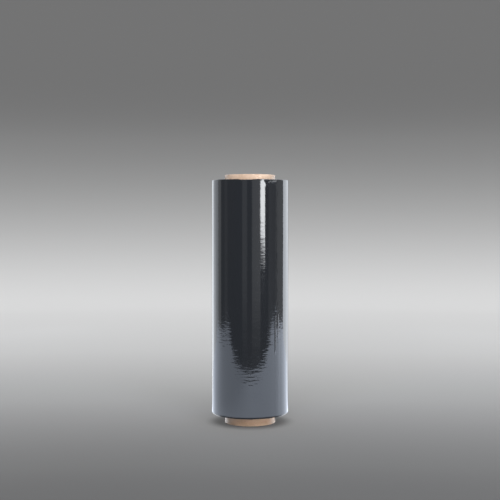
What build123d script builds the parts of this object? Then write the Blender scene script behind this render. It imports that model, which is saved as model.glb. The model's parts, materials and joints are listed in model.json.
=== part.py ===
"""Hand stretch wrap roll: machine film wound tight on a paperboard core.

Lengths are in millimetres. The roll stands on end: +Z runs up the core's axis, and the origin is
the centre of the core's lower end face. Both pieces are coaxial with Z.
"""

import os

from build123d import *

# Core: a spiral-wound paperboard tube, cut square at both ends.
core_bore = 76.2  # inside diameter, the 3 in size that hand dispensers and spindles fit
core_wall = 3.4
core_edge_break = 0.3  # the saw's burr, rubbed down on all four rims
bottom_stub = 15.0  # bare core below the film
top_stub = 9.0  # bare core above the film

# Film: every turn of the web together, as one solid ring on the core.
film_width = 381.0  # the 15 in web, measured along the core
film_build = 21.0  # depth of wound film, from the core's wall to the outermost turn
film_bottom_round = 3.0  # the lower edge, where the outer turns have drawn in
film_top_round = 1.0  # the upper edge, which is wound more squarely

# Worked out from the sizes above.
core_bore_radius = core_bore / 2
core_outer_radius = core_bore_radius + core_wall
core_length = bottom_stub + film_width + top_stub
film_outer_radius = core_outer_radius + film_build

os.makedirs("parts", exist_ok=True)


# --- core -------------------------------------------------------------------------------------
# A plain tube. The film hides its outer wall, except for a short stub at each end.
with BuildPart() as core:
    with BuildSketch(Plane.XY):
        Circle(core_outer_radius)
        Circle(core_bore_radius, mode=Mode.SUBTRACT)
    extrude(amount=core_length)
    rims = core.edges().filter_by(GeomType.CIRCLE)
    chamfer(rims, length=core_edge_break)

core.part.label = "core"
export_step(core.part, "parts/core.step")


# --- film_roll --------------------------------------------------------------------------------
# The wound web. Its inner wall is the core's outer wall, because the first turns are wound on
# under tension and grip the paperboard with no gap. Its section is drawn on one side of the axis
# and turned round it, so that each outer corner can have its own round.
with BuildPart() as film_roll:
    with BuildSketch(Plane.XZ) as film_section:
        with Locations((core_outer_radius, bottom_stub)):
            Rectangle(film_build, film_width, align=(Align.MIN, Align.MIN))
        outer_corners = film_section.vertices().group_by(Axis.X)[-1].sort_by(Axis.Y)
        fillet(outer_corners[0], radius=film_bottom_round)
        outer_corners = film_section.vertices().group_by(Axis.Y)[-1].sort_by(Axis.X)
        fillet(outer_corners[-1], radius=film_top_round)
    revolve(axis=Axis.Z)

film_roll.part.label = "film_roll"
export_step(film_roll.part, "parts/film_roll.step")
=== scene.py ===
# %% [markdown]
# # A roll of stretch wrap
# The real thing is two pieces. One is a paperboard tube, wound in a spiral from kraft strip and cut
# square. The other is a web of black film, wound on the tube about 1400 times. This lesson builds
# both around a CAD frame, which gives their true sizes, and then gives each its finish.
# Lengths are in metres, as everywhere in Blender. The roll stands on its lower end at z = 0.

# %% Load the frame and read its sizes
import json
import math

import bmesh
import bpy
from mathutils import Matrix, Vector, noise


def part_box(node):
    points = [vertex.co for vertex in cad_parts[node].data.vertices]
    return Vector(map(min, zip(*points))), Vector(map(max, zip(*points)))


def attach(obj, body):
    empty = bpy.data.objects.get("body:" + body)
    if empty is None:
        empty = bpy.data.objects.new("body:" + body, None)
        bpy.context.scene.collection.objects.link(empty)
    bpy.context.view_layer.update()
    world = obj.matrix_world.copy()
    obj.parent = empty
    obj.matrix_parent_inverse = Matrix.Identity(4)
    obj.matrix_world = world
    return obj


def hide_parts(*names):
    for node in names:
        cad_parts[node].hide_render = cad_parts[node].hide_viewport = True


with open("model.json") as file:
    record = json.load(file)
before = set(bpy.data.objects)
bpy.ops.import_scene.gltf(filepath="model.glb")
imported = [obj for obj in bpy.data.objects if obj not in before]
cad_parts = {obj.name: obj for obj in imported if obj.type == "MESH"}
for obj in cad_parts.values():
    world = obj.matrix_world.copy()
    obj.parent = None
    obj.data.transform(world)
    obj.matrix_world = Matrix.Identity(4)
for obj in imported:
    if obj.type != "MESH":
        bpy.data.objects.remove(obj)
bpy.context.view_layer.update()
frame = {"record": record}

MM = 0.001
# A point this close to a face counts as on it.
on_face = 0.01 * MM
core_low, core_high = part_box("core")
film_low, film_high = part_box("film_roll")
core_radius = core_high.x
film_radius = film_high.x
bore_mount = next(m for m in frame["record"]["mounts"] if m["name"] == "core_bore")
bore_radius = bore_mount["dims"]["r_mm"] * MM
core_wall = core_radius - bore_radius
film_build = film_radius - core_radius
print("film", tuple(film_low), tuple(film_high), "bore radius", bore_radius)

# %% [markdown]
# ## The camera
# A long lens from a good distance keeps the roll's sides nearly parallel. The eye is a little below
# the top of the film, so the top edge of the film reads as a straight line and its bottom edge as a
# curve. Angles round the roll are counted from the camera: 0 faces it, and they grow to the right.

# %% Place the camera
camera_distance = 1.640
eye_below_film_top = 0.067
camera_tilt = math.radians(-1.62)
camera = bpy.data.objects.new("camera", bpy.data.cameras.new("camera"))
bpy.context.scene.collection.objects.link(camera)
camera.data.lens = 72.0
camera.data.sensor_width = 36.0
camera.location = (0.0, -camera_distance, film_high.z - eye_below_film_top)
camera.rotation_euler = (math.radians(90) + camera_tilt, 0.0, 0.0)
bpy.context.scene.camera = camera
print("camera at", tuple(camera.location))


def around(angle, radius, z):
    """The point at an angle in radians round the roll, counted from the camera's side."""
    return Vector((radius * math.sin(angle), -radius * math.cos(angle), z))


def angle_of(point):
    """The angle round the roll of a point, from -pi to pi, with 0 on the camera's side."""
    return math.atan2(point.x, -point.y)


def smooth_step(value, low, high):
    """0 below low, 1 above high, and an eased rise between them."""
    share = min(1.0, max(0.0, (value - low) / (high - low)))
    return share * share * (3 - 2 * share)


# %% [markdown]
# ## From a section to a ring
# Both pieces are rings, so both start as a flat section on one side of the axis. The section is one
# face with its outer corners bevelled. Its edges are cut where the ring will need rows of vertices,
# the face is dropped, and a spin carries the outline round the axis. A lathe makes the same shape,
# and a spin with merging closes it with no seam.

# %% Draw a section and spin it
def section_outline(inner, outer, low, high, rounds):
    """A bmesh with the outline of a ring's section, and one round for each (radius, z, size)."""
    bm = bmesh.new()
    corners = [(inner, low), (outer, low), (outer, high), (inner, high)]
    bm.faces.new([bm.verts.new((r, 0.0, z)) for r, z in corners])
    for corner_r, corner_z, size, steps in rounds:
        place = Vector((corner_r, 0.0, corner_z))
        corner = min(bm.verts, key=lambda v: (v.co - place).length)
        bmesh.ops.bevel(bm, geom=[corner], offset=size, segments=steps, profile=0.5,
                        affect="VERTICES", material=-1)
    bmesh.ops.delete(bm, geom=list(bm.faces), context="FACES_ONLY")
    return bm


def cut_straight(bm, test, cuts):
    """Divides every edge whose middle passes the test."""
    chosen = [e for e in bm.edges if test((e.verts[0].co + e.verts[1].co) / 2)]
    bmesh.ops.subdivide_edges(bm, edges=chosen, cuts=cuts)


def spin_ring(bm, steps):
    """Carries the outline once round the axis and closes the ring."""
    bmesh.ops.spin(bm, geom=list(bm.verts) + list(bm.edges), cent=(0, 0, 0), axis=(0, 0, 1),
                   angle=math.tau, steps=steps, use_merge=True, use_duplicate=False)
    bmesh.ops.remove_doubles(bm, verts=list(bm.verts), dist=0.001 * MM)
    bmesh.ops.recalc_face_normals(bm, faces=list(bm.faces))


def finish_mesh(bm, name, materials):
    """Turns a bmesh into a smooth-shaded object at the origin."""
    mesh = bpy.data.meshes.new(name)
    for face in bm.faces:
        face.smooth = True
    bm.to_mesh(mesh)
    bm.free()
    for material in materials:
        mesh.materials.append(material)
    made = bpy.data.objects.new(name, mesh)
    bpy.context.scene.collection.objects.link(made)
    print(name, len(mesh.vertices), "vertices,", len(mesh.polygons), "faces")
    return made


# %% [markdown]
# ## Helpers for materials
# Every finish is a node tree. A few short helpers keep the trees readable: one adds a node and sets
# its values, some do arithmetic, and one makes an empty group with named sockets. A bump stands in
# for relief that is too fine for the mesh to carry.

# %% Node helpers
def add_node(tree, kind, **settings):
    """Adds a node. Settings that name an input socket set its value, and the rest are properties."""
    made = tree.nodes.new(kind)
    for key, value in settings.items():
        if key in made.inputs:
            made.inputs[key].default_value = value
        else:
            setattr(made, key, value)
    return made


def join(tree, source, target):
    """Links an output to an input, or sets the input if the source is a plain value."""
    if isinstance(source, bpy.types.NodeSocket):
        tree.links.new(source, target)
    else:
        target.default_value = source


def math_node(tree, operation, *values):
    """One arithmetic step, whose inputs are sockets or numbers."""
    made = add_node(tree, "ShaderNodeMath", operation=operation)
    for value, socket in zip(values, made.inputs):
        join(tree, value, socket)
    return made.outputs[0]


def scaled_from(tree, value, middle, scale):
    """How far a value is past a middle, times a scale."""
    return math_node(tree, "MULTIPLY", math_node(tree, "SUBTRACT", value, middle), scale)


def apart(tree, value, middle):
    """How far a value is from a middle, on either side of it."""
    return math_node(tree, "ABSOLUTE", math_node(tree, "SUBTRACT", value, middle))


def map_range(tree, value, low, high, to_low, to_high, ease="LINEAR"):
    """Carries a value from one range to another, and holds it at the ends."""
    made = add_node(tree, "ShaderNodeMapRange", interpolation_type=ease)
    for source, name in ((value, "Value"), (low, "From Min"), (high, "From Max"),
                         (to_low, "To Min"), (to_high, "To Max")):
        join(tree, source, made.inputs[name])
    return made.outputs["Result"]


def mix_colour(tree, share, first, second):
    """Mixes two colours by a share from 0 to 1.

    The node names its sockets for numbers and for colours alike, so the colours go by position."""
    made = add_node(tree, "ShaderNodeMix", data_type="RGBA")
    join(tree, share, made.inputs["Factor"])
    join(tree, first, made.inputs[6])
    join(tree, second, made.inputs[7])
    return made.outputs[2]


def noise_node(tree, vector, scale, detail=2.0, roughness=0.5):
    """A noise texture's value, from 0 to 1 about a middle of 0.5."""
    made = add_node(tree, "ShaderNodeTexNoise", Scale=scale, Detail=detail, Roughness=roughness)
    tree.links.new(vector, made.inputs["Vector"])
    return made.outputs["Fac"]


def stretched(tree, vector, scale):
    """Object coordinates multiplied axis by axis, so that a pattern is drawn out along one."""
    made = add_node(tree, "ShaderNodeMapping", Scale=scale)
    tree.links.new(vector, made.inputs["Vector"])
    return made.outputs["Vector"]


def drawn_out_noise(tree, place, scale, detail):
    """A noise with a scale of its own along each axis."""
    return noise_node(tree, stretched(tree, place, scale), 1.0, detail)


def split_place(tree, place):
    """The three coordinates of a place, as sockets."""
    made = add_node(tree, "ShaderNodeSeparateXYZ")
    tree.links.new(place, made.inputs[0])
    return made.outputs["X"], made.outputs["Y"], made.outputs["Z"]


def angle_round(tree, x, y):
    """The angle round the roll, counted as angle_of counts it."""
    return math_node(tree, "ARCTAN2", x, math_node(tree, "MULTIPLY", y, -1.0))


def distance_from_axis(tree, place):
    """The radius of a point on the surface."""
    flat = stretched(tree, place, (1.0, 1.0, 0.0))
    length = add_node(tree, "ShaderNodeVectorMath", operation="LENGTH")
    tree.links.new(flat, length.inputs[0])
    return length.outputs["Value"]


def add_relief(tree, shader, height, strength, depth):
    """Gives a shader a bump that is depth metres deep where the height is 1."""
    relief = add_node(tree, "ShaderNodeBump", Strength=strength, Distance=depth)
    tree.links.new(height, relief.inputs["Height"])
    tree.links.new(relief.outputs["Normal"], shader.inputs["Normal"])


def new_material(name):
    """A material with one Principled BSDF, and its tree, shader and Object coordinates."""
    made = bpy.data.materials.new(name)
    made.use_nodes = True
    tree = made.node_tree
    tree.nodes.clear()
    shader = add_node(tree, "ShaderNodeBsdfPrincipled")
    output = add_node(tree, "ShaderNodeOutputMaterial")
    tree.links.new(shader.outputs["BSDF"], output.inputs["Surface"])
    place = add_node(tree, "ShaderNodeTexCoord").outputs["Object"]
    return made, tree, shader, place


def new_group(name, inputs, outputs):
    """A shader node group with named sockets, and the nodes for its inputs and its outputs."""
    made = bpy.data.node_groups.new(name, "ShaderNodeTree")
    for socket_name, kind, value in inputs:
        socket = made.interface.new_socket(socket_name, in_out="INPUT", socket_type=kind)
        if value is not None:
            socket.default_value = value
    for socket_name, kind in outputs:
        made.interface.new_socket(socket_name, in_out="OUTPUT", socket_type=kind)
    return made, made.nodes.new("NodeGroupInput"), made.nodes.new("NodeGroupOutput")


def use_group(tree, group, **values):
    """Places a group in a tree. A value may be a socket, a number or a colour."""
    made = tree.nodes.new("ShaderNodeGroup")
    made.node_tree = group
    for key, value in values.items():
        join(tree, value, made.inputs[key.replace("_", " ")])
    return made


# %% [markdown]
# ## Paper fibre
# Kraft board is pressed wood fibre. Close to, it has short pale and dark hairs, and further off it is
# slightly cloudy. All three faces of the tube show this, at different strengths, so it is a group:
# it takes a place and two colours, and gives back a colour and a height.

# %% The paper fibre group
FLOAT, COLOUR, VECTOR = "NodeSocketFloat", "NodeSocketColor", "NodeSocketVector"
cloud_strength, hair_strength = 1.6, 1.1
fleck_brown = (0.16, 0.085, 0.045, 1.0)
paper_fibre, fibre_in, fibre_out = new_group(
    "paper_fibre",
    [("Place", VECTOR, None), ("Light", COLOUR, None), ("Dark", COLOUR, None),
     ("Contrast", FLOAT, 1.0), ("Fleck", FLOAT, 0.3)],
    [("Colour", COLOUR), ("Height", FLOAT)],
)
fibre_place = fibre_in.outputs["Place"]
cloud = noise_node(paper_fibre, fibre_place, 60.0, 3.0, 0.55)
hair_across = drawn_out_noise(paper_fibre, fibre_place, (2200, 2200, 500), 2.0)
hair_along = drawn_out_noise(paper_fibre, fibre_place, (500, 500, 2400), 2.0)
hairs = math_node(paper_fibre, "ADD", hair_across, hair_along)
cloud_part = scaled_from(paper_fibre, cloud, 0.5, cloud_strength)
hair_part = scaled_from(paper_fibre, hairs, 1.0, hair_strength)
both_parts = math_node(paper_fibre, "ADD", cloud_part, hair_part)
contrast_part = math_node(paper_fibre, "MULTIPLY", both_parts, fibre_in.outputs["Contrast"])
light_share = math_node(paper_fibre, "ADD", contrast_part, 0.5)
board_colour = mix_colour(paper_fibre, light_share, fibre_in.outputs["Dark"], fibre_in.outputs["Light"])
fleck_noise = noise_node(paper_fibre, fibre_place, 900.0, 1.0)
fleck_mask = map_range(paper_fibre, fleck_noise, 0.66, 0.74, 0.0, 1.0)
fleck_share = math_node(paper_fibre, "MULTIPLY", fleck_mask, fibre_in.outputs["Fleck"])
flecked = mix_colour(paper_fibre, fleck_share, board_colour, fleck_brown)
paper_fibre.links.new(flecked, fibre_out.inputs["Colour"])
paper_fibre.links.new(hairs, fibre_out.inputs["Height"])
print("paper fibre:", len(paper_fibre.nodes), "nodes")

# %% [markdown]
# ## The spiral seam
# A tube like this is made from strip wound on a turning rod. The edges of each strip meet in a line
# that climbs round the tube like a thread. Its place is worked out twice from the same numbers: here
# as a mask for the colour, and further down as a groove in the mesh. Past the seam the strip's shade
# shifts a little, because no two edges of a strip are quite alike.

# %% The seam's numbers and its mask
ply_lead = 0.110
outer_seam_angle = math.radians(-72)
outer_seam_z = core_high.z - 5 * MM
inner_seam_angle = outer_seam_angle + math.pi


def seam_offset(angle, z, seam_angle):
    """How far an angle is from the seam at this height, from -pi to pi."""
    on_seam = seam_angle + math.tau * (z - outer_seam_z) / ply_lead
    return (angle - on_seam + math.pi) % math.tau - math.pi


spiral_seam, seam_in, seam_out = new_group(
    "spiral_seam",
    [("Place", VECTOR, None), ("Seam Angle", FLOAT, 0.0), ("Half Width", FLOAT, 0.7 * MM),
     ("Radius", FLOAT, core_radius)],
    [("Line", FLOAT), ("Ply Shade", FLOAT)],
)
seam_x, seam_y, seam_z = split_place(spiral_seam, seam_in.outputs["Place"])
climb_angle = scaled_from(spiral_seam, seam_z, outer_seam_z, math.tau / ply_lead)
from_seam = math_node(spiral_seam, "SUBTRACT", angle_round(spiral_seam, seam_x, seam_y), climb_angle)
from_seam = math_node(spiral_seam, "SUBTRACT", from_seam, seam_in.outputs["Seam Angle"])
turns_off = math_node(spiral_seam, "FRACT", math_node(spiral_seam, "DIVIDE", from_seam, math.tau))
nearest = math_node(spiral_seam, "PINGPONG", turns_off, 0.5)
nearest_angle = math_node(spiral_seam, "MULTIPLY", nearest, math.tau)
arc_length = math_node(spiral_seam, "MULTIPLY", nearest_angle, seam_in.outputs["Radius"])
line_mask = map_range(spiral_seam, arc_length, 0.0, seam_in.outputs["Half Width"], 1.0, 0.0,
                      "SMOOTHSTEP")
spiral_seam.links.new(line_mask, seam_out.inputs["Line"])
spiral_seam.links.new(turns_off, seam_out.inputs["Ply Shade"])
print("spiral seam: one turn in", ply_lead / MM, "mm")

# %% [markdown]
# ## Kraft board finishes
# The outside of the tube is smooth liner. The bore is rougher and greyer, because the inner plies are
# made from recycled stock. Both walls were rubbed smooth on the rod and by the winding belt, so they
# have a low sheen, and the bore's deeper bump breaks it up. The cut ends show the plies edge on, as
# fine rings of paler board and darker glue, and a sawn end is fully matt.

# %% Kraft liner on the outside and in the bore
seam_brown = (0.12, 0.07, 0.04, 1.0)
seam_strength = 0.55
strip_shift = 0.12
wall_sheen_roughness = 0.38


def kraft_wall(name, light, dark, seam_angle, radius, contrast, bump):
    """Board seen flat: fibre, the strip's slight change of shade, and the dark seam line."""
    material, tree, shader, place = new_material(name)
    fibre = use_group(tree, paper_fibre, Place=place, Light=light, Dark=dark, Contrast=contrast,
                      Fleck=0.35)
    seam = use_group(tree, spiral_seam, Place=place, Seam_Angle=seam_angle, Radius=radius)
    strip_shade = map_range(tree, seam.outputs["Ply Shade"], 0.0, 1.0, 0.0, strip_shift)
    shaded = mix_colour(tree, strip_shade, fibre.outputs["Colour"], dark)
    line_share = math_node(tree, "MULTIPLY", seam.outputs["Line"], seam_strength)
    seamed = mix_colour(tree, line_share, shaded, seam_brown)
    tree.links.new(seamed, shader.inputs["Base Color"])
    shader.inputs["Roughness"].default_value = wall_sheen_roughness
    shader.inputs["Specular IOR Level"].default_value = 0.5
    add_relief(tree, shader, fibre.outputs["Height"], bump, 0.12 * MM)
    return material


kraft_outside = kraft_wall("kraft_outside", (0.66, 0.495, 0.385, 1.0), (0.50, 0.35, 0.25, 1.0),
                           outer_seam_angle, core_radius, contrast=1.0, bump=0.35)
kraft_bore = kraft_wall("kraft_bore", (0.50, 0.38, 0.28, 1.0), (0.34, 0.24, 0.165, 1.0),
                        inner_seam_angle, bore_radius, contrast=1.3, bump=0.6)
print("walls:", kraft_outside.name, "and", kraft_bore.name)

# %% The cut end of the board, ply by ply
ply_count = 8
ply_thickness = core_wall / ply_count
ply_wander = 0.4 * MM
glue_brown = (0.22, 0.135, 0.08, 1.0)
kraft_cut, cut_tree, cut_shader, cut_place = new_material("kraft_cut_end")
cut_fibre = use_group(cut_tree, paper_fibre, Place=cut_place, Light=(0.68, 0.51, 0.37, 1.0),
                      Dark=(0.44, 0.30, 0.20, 1.0), Contrast=1.5, Fleck=0.5)
cut_radius = distance_from_axis(cut_tree, cut_place)
wander = noise_node(cut_tree, cut_place, 45.0, 2.0)
wandered = math_node(cut_tree, "ADD", cut_radius, scaled_from(cut_tree, wander, 0.5, ply_wander))
ply_depth = math_node(cut_tree, "SUBTRACT", wandered, bore_radius)
ply_turn = math_node(cut_tree, "FRACT", math_node(cut_tree, "DIVIDE", ply_depth, ply_thickness))
glue_line = map_range(cut_tree, math_node(cut_tree, "PINGPONG", ply_turn, 0.5), 0.0, 0.16, 0.6, 0.0)
cut_colour = mix_colour(cut_tree, glue_line, cut_fibre.outputs["Colour"], glue_brown)
cut_tree.links.new(cut_colour, cut_shader.inputs["Base Color"])
cut_shader.inputs["Roughness"].default_value = 0.9
cut_shader.inputs["Specular IOR Level"].default_value = 0.2
cut_height = math_node(cut_tree, "SUBTRACT", cut_fibre.outputs["Height"], glue_line)
add_relief(cut_tree, cut_shader, cut_height, 0.8, 0.2 * MM)
print("cut end:", ply_count, "plies of", round(ply_thickness / MM, 3), "mm")

# %% [markdown]
# ## The tube
# The tube is a spun ring. It has more rows in the bore, which stays in sight, than on the outside,
# most of which the film covers. Its columns are then twisted to run along the seam. Columns are also
# drawn together near each seam, so a groove less than two millimetres wide has vertices of its own.
# By the seam at the top the strip's tip has lifted a little. Last, the plies on the cut ends are
# given their own slight heights, as a saw leaves them.

# %% Spin the tube
core_columns = 240
core_edge_break = 0.3 * MM
bore_rows, outside_rows = 130, 60
core_bm = section_outline(
    bore_radius, core_radius, core_low.z, core_high.z,
    [(r, z, core_edge_break, 2) for r in (bore_radius, core_radius) for z in (core_low.z, core_high.z)])
middle_z = (core_low.z + core_high.z) / 2
middle_radius = (bore_radius + core_radius) / 2
cut_straight(core_bm, lambda p: abs(p.x - middle_radius) < 0.1 * MM, 2 * ply_count - 1)
cut_straight(core_bm, lambda p: p.x < bore_radius + on_face and abs(p.z - middle_z) < 1 * MM, bore_rows)
cut_straight(core_bm, lambda p: p.x > core_radius - on_face and abs(p.z - middle_z) < 1 * MM,
             outside_rows)
spin_ring(core_bm, core_columns)
print("tube spun:", len(core_bm.verts), "vertices")

# %% Twist the columns along the seam and shape the wall
seam_half_width = 0.9 * MM
seam_depth = 0.22 * MM
column_crowding = 0.62
end_band = 0.5 * MM
lifted_tip, lifted_tip_height, lifted_tip_depth = 5 * MM, 0.7 * MM, 8 * MM
ply_step, fuzz_height = 0.05 * MM, 0.07 * MM
for vertex in core_bm.verts:
    place = vertex.co
    radius = math.hypot(place.x, place.y)
    start = angle_of(place)
    crowded = start - column_crowding * math.sin(2 * start) / 2
    twist = outer_seam_angle + math.tau * (place.z - outer_seam_z) / ply_lead
    angle = crowded + twist
    outside = radius > middle_radius
    offset = seam_offset(angle, place.z, outer_seam_angle if outside else inner_seam_angle)
    groove = seam_depth * (1 - smooth_step(abs(offset) * radius, 0.0, seam_half_width))
    on_wall = abs(radius - (core_radius if outside else bore_radius)) < on_face
    wave = 0.06 * MM * noise.noise(around(angle, 9.0, place.z * 40))
    if on_wall:
        radius += (wave - groove) if outside else (wave + groove)
    if outside and 0 < offset * radius < lifted_tip:
        tip = 1 - offset * radius / lifted_tip
        near_rim = smooth_step(place.z, core_high.z - lifted_tip_depth, core_high.z)
        radius += lifted_tip_height * tip * tip * near_rim
    cut_end = min(place.z - core_low.z, core_high.z - place.z) < end_band
    if cut_end and not on_wall:
        ply = int((radius - bore_radius) / ply_thickness * 2)
        fuzz = fuzz_height * noise.noise(around(angle, 60.0, ply * 7.3))
        side = 1 if place.z > middle_z else -1
        place.z -= side * (ply_step * (ply % 2) + max(0.0, fuzz))
    vertex.co = around(angle, radius, place.z)

# %% Give the tube's faces their finishes and hand it over
flat_enough = 0.7
core_bm.normal_update()
for face in core_bm.faces:
    centre = face.calc_center_median()
    if abs(face.normal.z) > flat_enough:
        face.material_index = 2
    elif math.hypot(centre.x, centre.y) < middle_radius:
        face.material_index = 1
core_tube = finish_mesh(core_bm, "core_tube", [kraft_outside, kraft_bore, kraft_cut])
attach(core_tube, "root")
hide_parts("core")

# %% [markdown]
# ## Black film
# Stretch film is thin, soft polyethylene with carbon black in it. Wound tight it is a dark mirror, but
# never a perfect one. Three kinds of relief break it up: faint lines round the roll, left by the die
# that made the film; faint flutes up the roll, where it was pulled over the turns below; and small
# shallow creases. They are only microns deep, so they are bump, and the roughness stays low.

# %% The film crease group
film_crease, crease_in, crease_out = new_group(
    "film_crease",
    [("Place", VECTOR, None), ("Line Depth", FLOAT, 0.062 * MM), ("Flute Depth", FLOAT, 0.050 * MM),
     ("Crease Depth", FLOAT, 0.058 * MM)],
    [("Height", FLOAT)],
)
crease_place = crease_in.outputs["Place"]
die_lines = drawn_out_noise(film_crease, crease_place, (70, 70, 290), 1.5)
flutes = drawn_out_noise(film_crease, crease_place, (170, 170, 5), 2.0)
creases = drawn_out_noise(film_crease, crease_place, (120, 120, 380), 1.0)
film_height = 0.0
for value, name in ((die_lines, "Line Depth"), (flutes, "Flute Depth"), (creases, "Crease Depth")):
    part = math_node(film_crease, "MULTIPLY", value, crease_in.outputs[name])
    film_height = math_node(film_crease, "ADD", film_height, part)
film_crease.links.new(film_height, crease_out.inputs["Height"])
print("film crease:", len(film_crease.nodes), "nodes")

# %% [markdown]
# ## The tail
# The web's last edge runs up the roll as a fine line. It clings, but not everywhere, so parts of it
# lie flat and parts have lifted. A lifted part is a long slope with a short drop past it, because
# the steep drop is what mirrors a darker part of the room. Over one stretch the film behind the edge
# has lifted as well, in a second line, and small blisters lie between the two.

# %% The line of the tail
tail_angle = math.radians(41)
tail_wander_width = 2.0 * MM
slope_width, drop_width = 2.2 * MM, 0.6 * MM
cling_rise = 0.14 * MM
loose_rise = 0.66 * MM
film_tail, tail_in, tail_out = new_group("film_tail", [("Place", VECTOR, None)], [("Height", FLOAT)])
tail_place = tail_in.outputs["Place"]
tail_x, tail_y, tail_z = split_place(film_tail, tail_place)
angle_on_roll = angle_round(film_tail, tail_x, tail_y)
from_tail = scaled_from(film_tail, angle_on_roll, tail_angle, film_radius)
tail_wander = drawn_out_noise(film_tail, tail_place, (0, 0, 30), 2.0)
from_tail = math_node(film_tail, "ADD", from_tail,
                      scaled_from(film_tail, tail_wander, 0.5, tail_wander_width))


def raised_edge(from_line):
    """A slope up to a line and a short drop past it, as a value from 0 to 1."""
    rise = map_range(film_tail, from_line, -slope_width, 0.0, 0.0, 1.0)
    drop = map_range(film_tail, from_line, 0.0, drop_width, 1.0, 0.0)
    return math_node(film_tail, "MINIMUM", rise, drop)


def loose_stretch(middle, half_height):
    """A lifted part of a line, as a height that fades out above and below its middle."""
    away = apart(film_tail, tail_z, middle)
    return map_range(film_tail, away, 0.6 * half_height, half_height, loose_rise, 0.0, "SMOOTHSTEP")


cling = drawn_out_noise(film_tail, tail_place, (0, 0, 55), 3.0)
cling_mask = map_range(film_tail, cling, 0.42, 0.58, 0.12, 1.0)
cling_height = math_node(film_tail, "MULTIPLY", cling_mask, cling_rise)
edge_height = math_node(film_tail, "ADD", cling_height, loose_stretch(147 * MM, 36 * MM))
first_height = math_node(film_tail, "MULTIPLY", raised_edge(from_tail), edge_height)

# %% The second line and the blisters
second_line = 6.2 * MM
blister_middle, blister_inner, blister_outer = 4 * MM, 2 * MM, 7 * MM
blister_rise = 0.3 * MM
second_ridge = raised_edge(math_node(film_tail, "SUBTRACT", from_tail, second_line))
second_height = math_node(film_tail, "MULTIPLY", second_ridge, loose_stretch(162 * MM, 22 * MM))
ridge_height = math_node(film_tail, "ADD", first_height, second_height)
blister_zone = map_range(film_tail, apart(film_tail, from_tail, blister_middle), blister_inner,
                         blister_outer, 1.0, 0.0, "SMOOTHSTEP")
blister = drawn_out_noise(film_tail, tail_place, (330, 330, 60), 1.0)
blister_share = math_node(film_tail, "MULTIPLY", blister, blister_zone)
blister_height = math_node(film_tail, "MULTIPLY", blister_share, blister_rise)

# %% [markdown]
# At the top the tail's corner has crept and puckered. The large folds are raised in the mesh, further
# down. The fine creases on them are a noise folded at its middle value, which turns smooth hills
# into sharp ones, and a mask keeps them under the top edge.

# %% The fine creases of the pucker
pucker_angle = math.radians(36)
pucker_rise = -1.2 * MM
pucker_across = scaled_from(film_tail, angle_on_roll, pucker_angle, film_radius)
pucker_down = math_node(film_tail, "SUBTRACT", film_high.z, tail_z)
pucker_wide = map_range(film_tail, math_node(film_tail, "ABSOLUTE", pucker_across), 4 * MM, 11 * MM,
                        1.0, 0.0, "SMOOTHSTEP")
pucker_tall = map_range(film_tail, pucker_down, 3 * MM, 12 * MM, 1.0, 0.0, "SMOOTHSTEP")
pucker_noise = drawn_out_noise(film_tail, tail_place, (70, 70, 260), 2.0)
pucker_fold = apart(film_tail, pucker_noise, 0.5)
pucker_mask = math_node(film_tail, "MULTIPLY", pucker_wide, pucker_tall)
pucker_share = math_node(film_tail, "MULTIPLY", pucker_fold, pucker_mask)
pucker_height = math_node(film_tail, "MULTIPLY", pucker_share, pucker_rise)
tail_height = math_node(film_tail, "ADD", ridge_height, blister_height)
tail_height = math_node(film_tail, "ADD", tail_height, pucker_height)
film_tail.links.new(tail_height, tail_out.inputs["Height"])
print("film tail:", len(film_tail.nodes), "nodes")

# %% [markdown]
# ## The film's two finishes
# The side is smooth and mirrors the room sharply, with a haze that comes and goes. The ends show the
# film edge on, about 1400 turns thick, so they are duller and lined with fine rings.

# %% Film on the outside of the roll
film_black = (0.0075, 0.0092, 0.0125, 1.0)
film_grey = (0.012, 0.0125, 0.0155, 1.0)
film_tint = (0.95, 0.975, 1.0, 1.0)
film_side, side_tree, side_shader, side_place = new_material("film_side")
side_crease = use_group(side_tree, film_crease, Place=side_place)
side_tail = use_group(side_tree, film_tail, Place=side_place)
side_height = math_node(side_tree, "ADD", side_crease.outputs["Height"], side_tail.outputs["Height"])
add_relief(side_tree, side_shader, side_height, 1.0, 1.0)
haze = noise_node(side_tree, side_place, 30.0, 3.0)
side_tree.links.new(map_range(side_tree, haze, 0.3, 0.7, 0.055, 0.095), side_shader.inputs["Roughness"])
tint = drawn_out_noise(side_tree, side_place, (26, 26, 2), 2.0)
side_colour = mix_colour(side_tree, tint, film_black, film_grey)
side_tree.links.new(side_colour, side_shader.inputs["Base Color"])
side_shader.inputs["IOR"].default_value = 1.55
side_shader.inputs["Specular Tint"].default_value = film_tint
print("side of the film:", film_side.name)

# %% Film on the ends of the roll, edge on
turn_black = (0.008, 0.009, 0.012, 1.0)
turn_grey = (0.026, 0.028, 0.033, 1.0)
film_end, end_tree, end_shader, end_place = new_material("film_end")
end_radius = distance_from_axis(end_tree, end_place)
turn_noise = add_node(end_tree, "ShaderNodeTexNoise", noise_dimensions="1D", Scale=4200.0, Detail=4.0,
                      Roughness=0.7)
end_tree.links.new(end_radius, turn_noise.inputs["W"])
slow_noise = add_node(end_tree, "ShaderNodeTexNoise", noise_dimensions="1D", Scale=500.0, Detail=2.0)
end_tree.links.new(end_radius, slow_noise.inputs["W"])
turn_height = math_node(end_tree, "ADD", turn_noise.outputs["Fac"], slow_noise.outputs["Fac"])
add_relief(end_tree, end_shader, turn_height, 0.6, 0.12 * MM)
end_haze = map_range(end_tree, slow_noise.outputs["Fac"], 0.3, 0.7, 0.28, 0.46)
end_tree.links.new(end_haze, end_shader.inputs["Roughness"])
end_colour = mix_colour(end_tree, turn_noise.outputs["Fac"], turn_black, turn_grey)
end_tree.links.new(end_colour, end_shader.inputs["Base Color"])
end_shader.inputs["IOR"].default_value = 1.5
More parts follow.
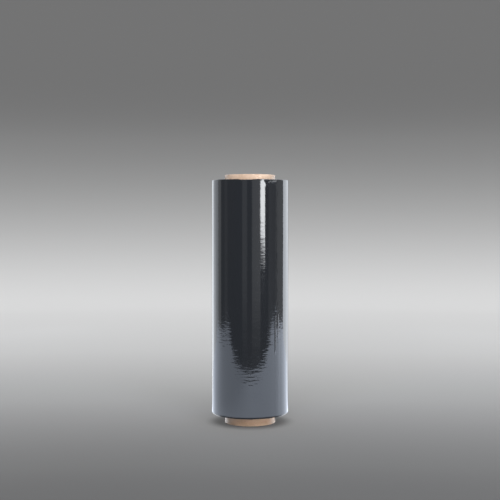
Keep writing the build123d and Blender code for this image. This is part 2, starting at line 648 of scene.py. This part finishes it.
print("ends of the film:", film_end.name)

# %% [markdown]
# ## The wound film
# The film is one ring, because no turn but the last can be told from the next. Rows and columns
# about 1.5 mm apart are close enough to carry the relief that shows in the outline and the
# reflections, and a band under the top edge has finer rows for the folds there. The relief is bands
# and flutes on the side, turns that stand proud or shy on the ends, an uneven top edge, and the tail,
# where the web stops and its corner has crept and puckered. The side is first cut in two at its
# middle, and that point is moved up, so that each part can be cut into rows of its own.

# %% Spin the film
film_columns = 240
film_rings = 28
film_rows = 268
fine_rows = 28
fine_band = 16 * MM
film_bm = section_outline(
    core_radius, film_radius, film_low.z, film_high.z,
    [(film_radius, film_low.z, 3 * MM, 6), (film_radius, film_high.z, 1 * MM, 4)])
film_middle_z = (film_low.z + film_high.z) / 2
film_middle_radius = (core_radius + film_radius) / 2
cut_straight(film_bm, lambda p: abs(p.x - film_middle_radius) < 2 * MM, film_rings - 1)
cut_straight(film_bm, lambda p: p.x > film_radius - on_face and abs(p.z - film_middle_z) < 2 * MM, 1)
side_middle = Vector((film_radius, 0.0, film_middle_z))
split = min(film_bm.verts, key=lambda v: (v.co - side_middle).length)
split.co.z = film_high.z - fine_band
cut_straight(film_bm, lambda p: p.x > film_radius - on_face and p.z > split.co.z, fine_rows - 1)
cut_straight(film_bm, lambda p: p.x > film_radius - on_face and abs(p.z - film_middle_z) < 20 * MM,
             film_rows - 1)
spin_ring(film_bm, film_columns)
print("film spun:", len(film_bm.verts), "vertices")

# %% Work out the side's relief
tail_step, tail_settle = 0.09 * MM, 6 * MM


def side_relief_at(angle, z):
    """How far the outer turn stands out from the true cylinder."""
    bands = 0.10 * MM * noise.noise(Vector((0.0, 3.1, z * 38)))
    flute = 0.035 * MM * noise.noise(around(angle, 5.5, z * 3))
    fine_flute = 0.012 * MM * noise.noise(around(angle, 15.0, z * 6 + 4))
    ripple = 0.010 * MM * noise.noise(around(angle, 2.4, z * 150))
    edge = tail_angle + 0.010 * noise.noise(Vector((2.0, 0.0, z * 45)))
    past = (angle - edge) * film_radius
    lift = 0.6 + 0.5 * noise.noise(Vector((7.0, 1.0, z * 26)))
    settled = math.exp(-max(0.0, past) / tail_settle)
    tail = tail_step * lift * settled * smooth_step(past, -1.2 * MM, 0.4 * MM)
    return bands + flute + fine_flute + ripple + tail


# Each fold in millimetres: its middle across and down, its slope, reach, height and half width.
pucker_folds = (
    (-1.5, 4.4, -0.13, 10.5, 0.32, 1.0),
    (-3.0, 7.0, -0.55, 4.0, 0.14, 1.1),
    (6.0, 8.3, -0.20, 4.0, 0.12, 1.1),
    (-2.0, 10.2, -0.25, 3.5, 0.12, 1.0),
    (-16.5, 4.2, 1.14, 5.0, 0.16, 1.7),
)


def pucker_at(angle, z):
    """Short folds under the top edge, where the tail's corner has crept."""
    across = (angle - pucker_angle) * film_radius / MM
    down = (film_high.z - z) / MM
    total = 0.0
    for middle, depth, slope, reach, height, half_width in pucker_folds:
        off_line = (down - depth - slope * (across - middle)) / half_width
        along = (across - middle) / reach
        total += height * math.exp(-off_line ** 2 - along ** 4)
    return total * MM


# %% Work out the ends' relief
dip_middle, dip_half_angle = math.radians(-5), math.radians(11)


def end_relief_at(angle, radius, top):
    """How far a turn's edge stands above the flat end, so a shy turn is negative."""
    depth = (film_radius - radius) / film_build
    turns = 0.16 * MM * noise.noise(Vector((radius * 900, 0.0, 5.0 if top else 9.0)))
    groups = 0.30 * MM * noise.noise(Vector((radius * 170, 2.0, 1.0 if top else 4.0)))
    sway = 0.20 * MM * noise.noise(around(angle, 1.3, radius * 60))
    outer_turns = 1 - smooth_step(depth, 0.0, 0.16)
    edge_wave = 0.45 * MM * noise.noise(around(angle, 2.6, 11.0 if top else 17.0)) * outer_turns
    dip = 0.0
    if top:
        off_centre = (angle - dip_middle) / dip_half_angle
        dip = -1.5 * MM * math.exp(-off_centre ** 4) * outer_turns
    proud = (0.8 * outer_turns - 0.25) * MM
    return turns * (1 - 0.5 * outer_turns) + groups + sway + edge_wave + dip + proud


# %% Shape the film's vertices
flat_band, blend_start, blend_end = 4 * MM, 0.5 * MM, 6 * MM
for vertex in film_bm.verts:
    place = vertex.co
    radius = math.hypot(place.x, place.y)
    angle = angle_of(place)
    z = place.z
    on_side = smooth_step(radius, film_radius - flat_band, film_radius - blend_start)
    if radius > core_radius + on_face:
        near_top = smooth_step(z, film_high.z - blend_end, film_high.z - blend_start)
        near_bottom = 1 - smooth_step(z, film_low.z + blend_start, film_low.z + blend_end)
        if near_top > 0:
            z += near_top * end_relief_at(angle, radius, True)
        if near_bottom > 0:
            z -= near_bottom * end_relief_at(angle, radius, False)
        radius += on_side * (side_relief_at(angle, place.z) + pucker_at(angle, place.z))
    vertex.co = around(angle, radius, z)

# %% Give the film's faces their finishes and hand it over
film_flat_enough = 0.75
film_bm.normal_update()
for face in film_bm.faces:
    face.material_index = 1 if abs(face.normal.z) > film_flat_enough else 0
film_wound = finish_mesh(film_bm, "film_wound", [film_side, film_end])
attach(film_wound, "root")
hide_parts("film_roll")

# %% [markdown]
# ## The studio
# A dark mirror shows the room, so the room is what gives the film its look. Three things share the
# work. A grey sheet is the floor, and curves up into a wall all the way round. Lamps light the sheet
# and the board, and the sheet also glows with its own painted shading. Glowing panels are only
# mirrored, and light nothing, so each can be moved to put a streak or a rim where it belongs without
# upsetting the rest.
#
# The sheet's shading is painted on: dark in front of the roll, pale where the wall starts, and dark
# again higher up. Close round the roll's foot a painted shadow makes it darker still, where the roll
# would keep the light off it.

# %% The floor and wall
sheet_radius, cove_radius, sheet_top = 2.3, 1.0, 2.6
sheet_columns, cove_steps = 96, 12
shade_centre_y = -0.6
ramp_length = 5.0
foot_shade = 0.55
black = (0.0, 0.0, 0.0, 1.0)


def stage_sheet():
    """A disc of floor, a cove and a wall, spun from one outline, with painted shading along its length
    that it also glows with.
    """
    bm = bmesh.new()
    spine = [bm.verts.new((r, 0.0, 0.0)) for r in (0.0, 0.4, sheet_radius)]
    for step in range(1, cove_steps + 1):
        turn = math.radians(90) * step / cove_steps
        spine.append(bm.verts.new((sheet_radius + cove_radius * math.sin(turn), 0.0,
                                   cove_radius * (1 - math.cos(turn)))))
    spine.append(bm.verts.new((sheet_radius + cove_radius, 0.0, sheet_top)))
    for low, high in zip(spine, spine[1:]):
        bm.edges.new((low, high))
    spin_ring(bm, sheet_columns)
    if min(bm.faces, key=lambda f: f.calc_center_median().length).normal.z < 0:
        bmesh.ops.reverse_faces(bm, faces=list(bm.faces))
    material, tree, shader, place = new_material("floor_painted_shading")
    from_roll = distance_from_axis(tree, place)
    x, y, z = split_place(tree, place)
    squeeze = map_range(tree, from_roll, 0.6, 3.0, 0.4, 1.1)
    shade_place = add_node(tree, "ShaderNodeCombineXYZ")
    join(tree, math_node(tree, "MULTIPLY", x, squeeze), shade_place.inputs["X"])
    join(tree, math_node(tree, "SUBTRACT", y, shade_centre_y), shade_place.inputs["Y"])
    reach = distance_from_axis(tree, shade_place.outputs["Vector"])
    travel = math_node(tree, "ADD", reach, z)
    ramp = add_node(tree, "ShaderNodeValToRGB")
    tree.links.new(math_node(tree, "DIVIDE", travel, ramp_length), ramp.inputs["Fac"])
    # Each stop is a distance along the sheet in metres and the grey of the painted shading there.
    stops = ((0.3, 0.081), (0.8, 0.232), (1.5, 0.380), (2.6, 0.52), (3.2, 0.55), (3.9, 0.335),
             (4.6, 0.125))
    ramp.color_ramp.interpolation = "B_SPLINE"
    while len(ramp.color_ramp.elements) < len(stops):
        ramp.color_ramp.elements.new(0.5)
    for element, (distance, grey) in zip(ramp.color_ramp.elements, stops):
        element.position = distance / ramp_length
        element.color = (grey, grey, grey, 1.0)
    # A painted shadow darkens the sheet close round the roll's foot.
    painted_foot_shadow = map_range(tree, from_roll, 44 * MM, 78 * MM, foot_shade, 1.0, "SMOOTHSTEP")
    shade = mix_colour(tree, painted_foot_shadow, black, ramp.outputs["Color"])
    # The sheet glows with its painted shading as well as taking light: half of it is the colour, all of
    # it the glow.
    half_shade = mix_colour(tree, 0.5, black, shade)
    tree.links.new(half_shade, shader.inputs["Base Color"])
    tree.links.new(shade, shader.inputs["Emission Color"])
    shader.inputs["Emission Strength"].default_value = 0.9
    shader.inputs["Roughness"].default_value = 0.9
    shader.inputs["Specular IOR Level"].default_value = 0.1
    made = finish_mesh(bm, "floor_sheet", [material])
    made.visible_glossy = False
    return made


floor_sheet = stage_sheet()


# %% [markdown]
# Four lamps do the lighting. Two are wide and light everything. The other two are small and low: a
# warm one from the front on the right, and one from behind that puts a glint on the board's edge.
# They are linked to the tube alone, so the floor shows no pool of light and the film no extra spot.

# %% Lamps
def soft_lamp(name, place, aim, size, power, colour=(1.0, 1.0, 1.0)):
    """A square soft lamp that points at a spot. Nothing mirrors it, and it is out of sight."""
    lamp = bpy.data.lights.new(name, "AREA")
    lamp.size = size
    lamp.energy = power
    lamp.color = colour
    made = bpy.data.objects.new(name, lamp)
    bpy.context.scene.collection.objects.link(made)
    made.location = place
    made.rotation_euler = (Vector(aim) - Vector(place)).to_track_quat("-Z", "Y").to_euler()
    made.visible_glossy = False
    made.visible_camera = False
    print(name, power, "W")
    return made


warm_white = (1.0, 0.83, 0.66)
tube_foot = (0.0, 0.0, 10 * MM)
soft_lamp("front_lamp", (0.2, -1.9, 2.1), (0.0, 0.0, 0.3), 2.2, 100.0)
soft_lamp("top_lamp", (0.0, 0.6, 3.2), (0.0, 0.6, 0.0), 4.0, 60.0)
foot_lamp = soft_lamp("foot_lamp", (0.42, -0.66, 0.05), tube_foot, 0.11, 1.9, warm_white)
glint_lamp = soft_lamp("glint_lamp", around(math.radians(130), 1.0, 0.10), tube_foot, 0.1, 1.6)
# The board does mirror this one, and that is the glint.
glint_lamp.visible_glossy = True
tube_alone = bpy.data.collections.new("tube_alone")
tube_alone.objects.link(core_tube)
for lamp in (foot_lamp, glint_lamp):
    lamp.light_linking.receiver_collection = tube_alone

# %% [markdown]
# A panel is a sheet of light with soft edges, set up at an angle round the roll. The narrow bright
# key strip gives the streak down the film, the two rims outline its sides, and the dim room panels
# keep the rest from going dead black. One glow stands so high on the right that only what leans
# back mirrors it, such as the folds under the top edge. A panel adds its glow to whatever is behind
# it, so two can overlap with no hard line between them.

# %% Panels that the film mirrors
def mirrored_sheet(name, width, depth, matrix, colour, strength_of, solid_where=None):
    """A glowing rectangle that only mirror-like surfaces see. strength_of gives its strength.

    It adds its glow to what stands behind it. With solid_where, it hides what is behind it where
    that gives 1, and isn't there at all where that gives 0."""
    bm = bmesh.new()
    bmesh.ops.create_grid(bm, x_segments=1, y_segments=1, size=0.5)
    bmesh.ops.scale(bm, vec=(width, depth, 1.0), verts=list(bm.verts))
    made = finish_mesh(bm, name, [])
    made.matrix_world = matrix
    material = bpy.data.materials.new(name)
    material.use_nodes = True
    tree = material.node_tree
    tree.nodes.clear()
    across, up, _ = split_place(tree, add_node(tree, "ShaderNodeTexCoord").outputs["Object"])
    glow = add_node(tree, "ShaderNodeEmission", Color=(*colour, 1.0))
    tree.links.new(strength_of(tree, across, up), glow.inputs["Strength"])
    see_through = add_node(tree, "ShaderNodeBsdfTransparent")
    if solid_where:
        both = add_node(tree, "ShaderNodeMixShader")
        tree.links.new(solid_where(tree, across, up), both.inputs[0])
        tree.links.new(see_through.outputs[0], both.inputs[1])
        tree.links.new(glow.outputs[0], both.inputs[2])
    else:
        both = add_node(tree, "ShaderNodeAddShader")
        tree.links.new(see_through.outputs[0], both.inputs[0])
        tree.links.new(glow.outputs[0], both.inputs[1])
    output = add_node(tree, "ShaderNodeOutputMaterial")
    tree.links.new(both.outputs[0], output.inputs["Surface"])
    made.data.materials.append(material)
    made.visible_camera = False
    made.visible_diffuse = False
    made.visible_shadow = False
    return made


def soft_panel(name, first_deg, last_deg, low, high, first, last, edges, ends=(0.1, 0.1),
               colour=(1.0, 1.0, 1.0), slant=0.0):
    """An upright panel that fills the view from one angle round the roll to another.

    Its glow runs from first to last across. It fades over edges at its sides and over ends at its
    foot and its top, all in metres. A slant is how far its lower end drops from the first edge to
    the last."""
    middle = math.radians(first_deg + last_deg) / 2
    half = panel_distance * math.tan(math.radians(last_deg - first_deg) / 2)
    tall = high - low
    matrix = (Matrix.Translation(around(middle, panel_distance, (low + high) / 2))
              @ Matrix.Rotation(middle, 4, "Z") @ Matrix.Rotation(math.radians(90), 4, "X"))

    def strength_of(tree, across, up):
        glow = map_range(tree, across, -half, half, first, last)
        dropped = math_node(tree, "ADD", up, math_node(tree, "MULTIPLY", across, slant / (2 * half)))
        low_end = -tall / 2 + slant / 2
        fades = ((across, -half, -half + edges[0]), (across, half, half - edges[1]),
                 (dropped, low_end, low_end + ends[0]), (up, tall / 2, tall / 2 - ends[1]))
        for value, dark_at, full_at in fades:
            fade = map_range(tree, value, dark_at, full_at, 0.0, 1.0, "SMOOTHSTEP")
            glow = math_node(tree, "MULTIPLY", glow, fade)
        return glow

    return mirrored_sheet(name, 2 * half, tall, matrix, colour, strength_of)


panel_distance = 1.5
cool_white = (0.90, 0.94, 1.0)
under_floor, above_floor, overhead = -1.2, -0.15, 1.9
soft_panel("key_strip", 30.0, 45.4, 0.182, overhead, 15.5, 15.5, (0.04, 0.04), (0.125, 0.3),
           slant=0.04)
soft_panel("right_rim", 116, 166, under_floor, overhead, 3.7, 1.0, (0.015, 0.3), (0.1, 0.9),
           cool_white)
soft_panel("left_rim", -166, -107.5, under_floor, overhead, 1.15, 1.35, (0.3, 0.11), (0.1, 0.9),
           cool_white)
soft_panel("left_edge", -166, -138, under_floor, overhead, 0.6, 0.9, (0.3, 0.03), (0.1, 0.9),
           cool_white)
soft_panel("left_low", -166, -119, under_floor, 0.45, 0.4, 0.6, (0.3, 0.05), (0.1, 0.4), cool_white)
soft_panel("room_left", -24, -7, above_floor, overhead, 0.3, 0.3, (0.1, 0.06), (0.35, 0.1))
soft_panel("room_middle", 4.5, 31, above_floor, overhead, 0.52, 0.62, (0.08, 0.03), (0.35, 0.1))
soft_panel("room_right", 54, 84, under_floor, overhead, 0.22, 0.08, (0.12, 0.1))
soft_panel("room_side", 83, 114, under_floor, overhead, 0.50, 0.33, (0.07, 0.1))
soft_panel("room_far_left", -109, -93.5, under_floor, overhead, 0.50, 0.55, (0.06, 0.10))
soft_panel("room_left_side", -82, -68, under_floor, overhead, 0.12, 0.12, (0.1, 0.1))
soft_panel("high_glow", 46, 98, 0.75, overhead, 9.0, 6.0, (0.1, 0.2), (0.2, 0.3))

# %% [markdown]
# The roll stands on a glossy table top, which is the pale part of what the film's lower half mirrors.
# The top itself is not built: a glowing sheet that only mirrors see lies there and paints its
# reflection. A polished top shines most at a low angle, so the glow's strength follows the angle it is
# seen at, a painted shine. It stops short of the roll's foot and behind it, where the rims carry on
# down instead.

# %% The table top that the film mirrors
table_front, table_back, table_left, table_right = -0.62, 0.60, -1.42, 1.53
table_height = 0.5 * MM
table_middle = Vector(((table_left + table_right) / 2, (table_front + table_back) / 2, table_height))
table_glow_blue = (0.80, 0.87, 1.0)
steep_painted_shine = 0.15
foot_clear, foot_full = 85 * MM, 125 * MM
side_clear, side_full = math.radians(153), math.radians(133)


def table_strength(tree, across, along):
    """The painted reflection's glow: brighter to the right and the back, and strongest at a low angle.
    """
    x = math_node(tree, "ADD", across, table_middle.x)
    y = math_node(tree, "ADD", along, table_middle.y)
    glow = map_range(tree, x, -0.30, 0.06, 2.15, 2.95, "SMOOTHSTEP")
    glow = math_node(tree, "ADD", glow, map_range(tree, x, 0.1, 1.2, 0.0, 0.5))
    glow = math_node(tree, "ADD", glow, map_range(tree, y, -0.05, 0.25, 0.0, 0.3))
    # A painted shine: the glow is strongest where the sheet is seen at a low angle.
    lowness = add_node(tree, "ShaderNodeLayerWeight", Blend=0.5).outputs["Facing"]
    return math_node(tree, "MULTIPLY", glow, map_range(tree, lowness, 0.55, 0.80, steep_painted_shine, 1.0))


def table_solid(tree, across, along):
    """1 where the table top is there, and 0 at the roll's foot and behind it."""
    x = math_node(tree, "ADD", across, table_middle.x)
    y = math_node(tree, "ADD", along, table_middle.y)
    squares = math_node(tree, "ADD", math_node(tree, "POWER", x, 2.0), math_node(tree, "POWER", y, 2.0))
    from_axis = math_node(tree, "SQRT", squares)
    past_foot = map_range(tree, from_axis, foot_clear, foot_full, 0.0, 1.0, "SMOOTHSTEP")
    side = math_node(tree, "ABSOLUTE", angle_round(tree, x, y))
    in_front = map_range(tree, side, side_clear, side_full, 0.0, 1.0, "SMOOTHSTEP")
    return math_node(tree, "MULTIPLY", past_foot, in_front)


mirrored_sheet("table_reflection_glow", table_right - table_left, table_back - table_front,
               Matrix.Translation(table_middle), table_glow_blue, table_strength, table_solid)

# %% The room's own light
world = bpy.data.worlds.new("studio")
world.use_nodes = True
background = world.node_tree.nodes["Background"]
background.inputs["Color"].default_value = (0.86, 0.93, 1.0, 1.0)
background.inputs["Strength"].default_value = 0.30
bpy.context.scene.world = world
bpy.context.scene.view_settings.view_transform = "Standard"
print("world", world.name)
